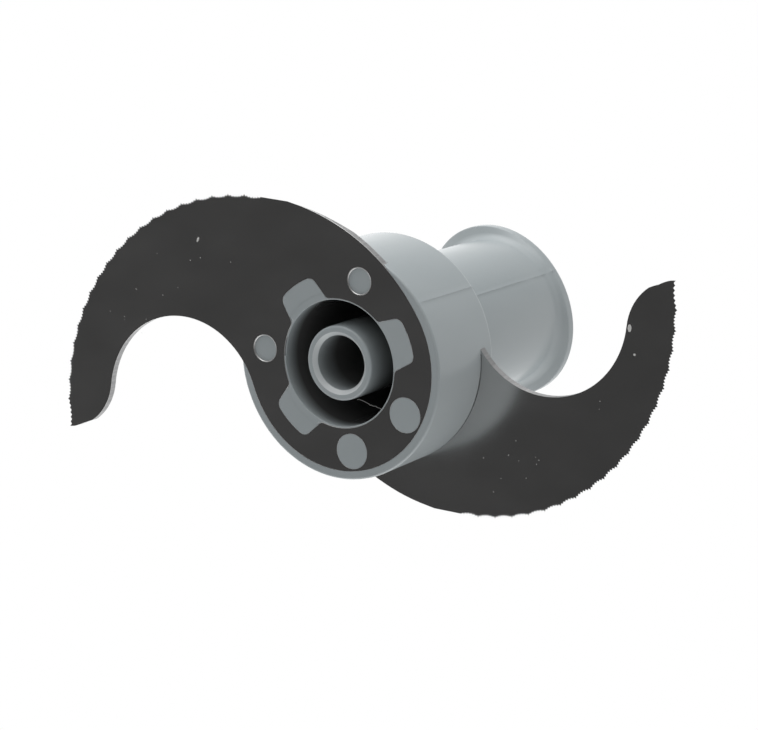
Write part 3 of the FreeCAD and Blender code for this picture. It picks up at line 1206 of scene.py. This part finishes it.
@dataclass
class Studio:
    """Camera, soft light and a pale floor that shows only from above.

    Attributes:
        aim: Point that the camera looks at.
        distance: Distance from the camera to that point.
        azimuth: Direction that the camera looks from, with 0 looking along +Y.
        elevation: Height of that direction above the horizon.
        roll: Turn of the picture about the view axis.
        lens: Focal length for the sensor width.
        sensor: Sensor width.
        surround: Brightness of the surroundings.
        lobes: Darker and brighter parts of them.
        floor_size: Half the side of the floor.
        floor_drop: Depth of the floor below the base.
        floor_tone: Brightness of its paint.
    """

    aim: Vector = Vector((-8.46, -1.43, 5.52)) * MM
    distance: float = 1123.98 * MM
    azimuth: float = math.radians(-105.341)
    elevation: float = math.radians(-54.611)
    roll: float = math.radians(-71.401)
    lens: float = 210.446
    sensor: float = 36.0
    surround: float = 1.0
    lobes: tuple[Lobe, ...] = (
        Lobe((0.45, -0.12, -0.88), 22, 55, 0.07),
        Lobe((-0.90, 0.24, -0.36), 15, 60, 0.24),
        Lobe((-0.10, 0.98, 0.15), 10, 46, 3.7),
        Lobe((0.15, -0.97, -0.18), 10, 48, 2.1),
        Lobe((0.95, -0.10, -0.22), 8, 40, 2.3),
        Lobe((-0.30, 0.60, 0.74), 12, 40, 0.45),
        Lobe((0.56, -0.15, 0.82), 10, 36, 1.7),
        Lobe((-0.85, 0.25, 0.45), 10, 40, 0.75),
    )
    floor_size: float = 3.0
    floor_drop: float = 0.3 * MM
    floor_tone: float = 0.86

    def add_camera(self) -> None:
        """Sets the camera at the photograph's viewing angle."""
        data = bpy.data.cameras.new("camera")
        data.sensor_width = self.sensor
        data.lens = self.lens
        data.clip_start = self.distance / 100
        data.clip_end = self.distance * 100
        back = Vector((
            math.sin(self.azimuth) * math.cos(self.elevation),
            -math.cos(self.azimuth) * math.cos(self.elevation),
            math.sin(self.elevation)))
        level_right = (-back).cross(Z_AXIS).normalized()
        level_up = back.cross(level_right)
        up = level_up * math.cos(self.roll) + level_right * math.sin(self.roll)
        right = up.cross(back)
        camera = bpy.data.objects.new("camera", data)
        turn = Matrix((right, up, back)).transposed().to_4x4()
        camera.matrix_world = Matrix.Translation(self.aim + back * self.distance) @ turn
        bpy.context.scene.collection.objects.link(camera)
        bpy.context.scene.camera = camera

    def lobe_share(self, tree: bpy.types.NodeTree, place: bpy.types.NodeSocket,
                   lobe: Lobe) -> bpy.types.NodeSocket:
        """Brightness of one lobe for a direction.

        Args:
            tree: Node tree of the world.
            place: Direction socket.
            lobe: The lobe.

        Returns:
            1 outside the lobe and its level inside.
        """
        dot = tree.nodes.new("ShaderNodeVectorMath")
        dot.operation = "DOT_PRODUCT"
        dot.inputs[1].default_value = Vector(lobe.direction).normalized()
        fall = tree.nodes.new("ShaderNodeMapRange")
        fall.interpolation_type = "SMOOTHSTEP"
        fall.inputs["From Min"].default_value = math.cos(math.radians(lobe.outer))
        fall.inputs["From Max"].default_value = math.cos(math.radians(lobe.inner))
        fall.inputs["To Min"].default_value = 1.0
        fall.inputs["To Max"].default_value = lobe.level
        tree.links.new(place, dot.inputs[0])
        tree.links.new(dot.outputs["Value"], fall.inputs["Value"])
        return fall.outputs["Result"]

    def add_world(self) -> None:
        """White surroundings shaped by lobes, and plain white behind the object."""
        world = bpy.data.worlds.new("studio")
        bpy.context.scene.world = world
        world.use_nodes = True
        tree = world.node_tree
        tree.nodes.clear()
        output = tree.nodes.new("ShaderNodeOutputWorld")
        seen = tree.nodes.new("ShaderNodeBackground")
        seen.inputs["Color"].default_value = (1, 1, 1, 1)
        seen.inputs["Strength"].default_value = 1.0
        light = tree.nodes.new("ShaderNodeBackground")
        path = tree.nodes.new("ShaderNodeLightPath")
        mix = tree.nodes.new("ShaderNodeMixShader")
        place = tree.nodes.new("ShaderNodeTexCoord")
        total = tree.nodes.new("ShaderNodeValue")
        total.outputs[0].default_value = self.surround
        strength = total.outputs[0]
        for lobe in self.lobes:
            product = tree.nodes.new("ShaderNodeMath")
            product.operation = "MULTIPLY"
            tree.links.new(strength, product.inputs[0])
            tree.links.new(self.lobe_share(tree, place.outputs["Generated"], lobe), product.inputs[1])
            strength = product.outputs[0]
        tree.links.new(strength, light.inputs["Strength"])
        tree.links.new(path.outputs["Is Camera Ray"], mix.inputs["Fac"])
        tree.links.new(light.outputs["Background"], mix.inputs[1])
        tree.links.new(seen.outputs["Background"], mix.inputs[2])
        tree.links.new(mix.outputs["Shader"], output.inputs["Surface"])

    def add_floor(self) -> None:
        """Pale floor that the camera sees from above and looks through from below."""
        mesh = bmesh.new()
        bmesh.ops.create_grid(mesh, x_segments=1, y_segments=1, size=self.floor_size,
                              matrix=Matrix.Translation((0, 0, -self.floor_drop)))
        floor = mesh_object("floor", mesh)
        material = bpy.data.materials.new("floor")
        material.use_nodes = True
        tree = material.node_tree
        tree.nodes.clear()
        output = tree.nodes.new("ShaderNodeOutputMaterial")
        paint = tree.nodes.new("ShaderNodeBsdfDiffuse")
        paint.inputs["Color"].default_value = (*[self.floor_tone] * 3, 1)
        clear = tree.nodes.new("ShaderNodeBsdfTransparent")
        side = tree.nodes.new("ShaderNodeNewGeometry")
        mix = tree.nodes.new("ShaderNodeMixShader")
        tree.links.new(side.outputs["Backfacing"], mix.inputs["Fac"])
        tree.links.new(paint.outputs["BSDF"], mix.inputs[1])
        tree.links.new(clear.outputs["BSDF"], mix.inputs[2])
        tree.links.new(mix.outputs["Shader"], output.inputs["Surface"])
        floor.data.materials.append(material)
        floor.visible_diffuse = False
        floor.visible_glossy = False
        floor.visible_transmission = False
        floor.visible_shadow = False

    def build(self) -> None:
        """Makes the whole studio."""
        self.add_camera()
        self.add_world()
        self.add_floor()
        view = bpy.context.scene.view_settings
        view.view_transform = "Standard"
        view.look = "None"


def main() -> None:
    """Builds the part and its studio."""
    logging.basicConfig(level=logging.INFO, format="%(name)s: %(message)s")
    steel = RolledSteel().material()
    sheared = SHEARED_STEEL.material()
    ground = GROUND_STEEL.material()
    plastic = MouldedPlastic().material()
    blades = [SickleBlade("lower_blade"), SickleBlade("upper_blade")]
    crumb = PaleCrumb().material()
    # The crumb finish also serves as a painted highlight on the hub's borders with the steel.
    Hub().build(plastic, PAINTED_HIGHLIGHT_EDGE.material(), crumb, blades)
    for blade in blades:
        blade.build(steel, sheared, ground)
    Debris().build(crumb)
    Studio().build()


if __name__ == "__main__":
    main()
